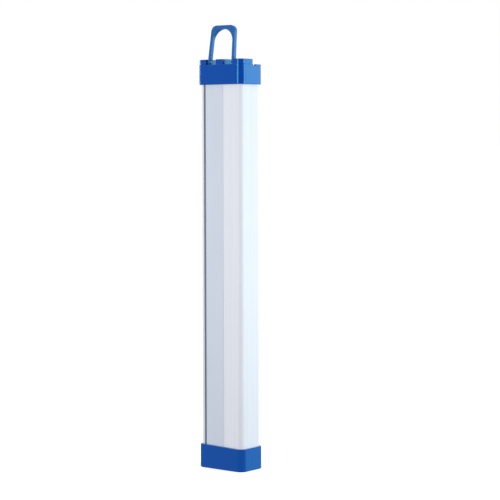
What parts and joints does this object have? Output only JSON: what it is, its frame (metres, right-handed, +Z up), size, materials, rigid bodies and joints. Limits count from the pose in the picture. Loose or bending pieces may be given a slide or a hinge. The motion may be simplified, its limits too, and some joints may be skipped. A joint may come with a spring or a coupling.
{
  "type": "led light bar",
  "caption": "Slim upright rechargeable light bar: frosted front cover, white housing, blue end caps, folding hanging hook and flat magnetic back.",
  "frame": {"origin": "centre of the underside of the lower cap", "axes": "+Z up along the bar, -Y towards the lit front, +Y towards the flat magnetic back, hook pivot on the -X side"},
  "size_m": [0.028, 0.044, 0.3463],
  "materials": {
    "cap_blue": "glossy",
    "hook_blue": "satin",
    "frosted_plastic": "frosted, translucent",
    "housing_white": "fine satin",
    "plate_white": "fine satin",
    "steel": "zinc plated",
    "gasket_grey": "matt",
    "magnet": "nickel plated",
    "seal_rubber": "matt",
    "reflector_white": "glossy",
    "board_white": "white solder mask",
    "led_yellow": "phosphor",
    "connector_nylon": "satin",
    "cell_sleeve": "shrink sleeve",
    "cradle_black": "satin",
    "nickel": "bright",
    "wire_red": "satin",
    "wire_black": "satin",
    "board_green": "solder mask",
    "button_grey": "matt",
    "clear_plastic": "clear"
  },
  "bodies": {
    "lamp": {"bottom_cap": "cap_blue", "top_cap": "cap_blue", "diffuser_cover": "frosted_plastic", "base_housing": "housing_white", "back_plate": "plate_white", "hook_pins": "steel", "bottom_cap_screws": "steel", "top_cap_screws": "steel", "led_board_screws": "steel", "usb_socket": "steel", "back_gasket": "gasket_grey", "back_magnets": "magnet", "bottom_seal": "seal_rubber", "top_seal": "seal_rubber", "dust_plug_anchor": "seal_rubber", "reflector": "reflector_white", "led_board": "board_white", "led_chips": "led_yellow", "led_connector": "connector_nylon", "battery_cells": "cell_sleeve", "battery_cradle": "cradle_black", "switch_body": "cradle_black", "control_parts": "cradle_black", "battery_tabs": "nickel", "wire_red": "wire_red", "wire_black": "wire_black", "led_leads": "wire_black", "control_board": "board_green", "indicator_window": "clear_plastic"},
    "hook": {"hook": "hook_blue"},
    "button": {"power_button": "button_grey", "switch_plunger": "button_grey"},
    "dust_plug": {"usb_dust_plug": "seal_rubber"}
  },
  "joints": [
    {"name": "hook_fold", "type": "hinge", "parent": "lamp", "child": "hook", "pos_m": [-0.0104, 0, 0.318], "axis": [0, 1, 0], "range_deg": [-7, 83]},
    {"name": "button_press", "type": "slide", "parent": "lamp", "child": "button", "axis": [0, 0, 1], "range_m": [0, 0.0006], "stiffness_N_per_m": 3000},
    {"name": "dust_plug_open", "type": "hinge", "parent": "lamp", "child": "dust_plug", "pos_m": [0, -0.0121, 0.0007], "axis": [-1, 0, 0], "range_deg": [0, 100]}
  ]
}
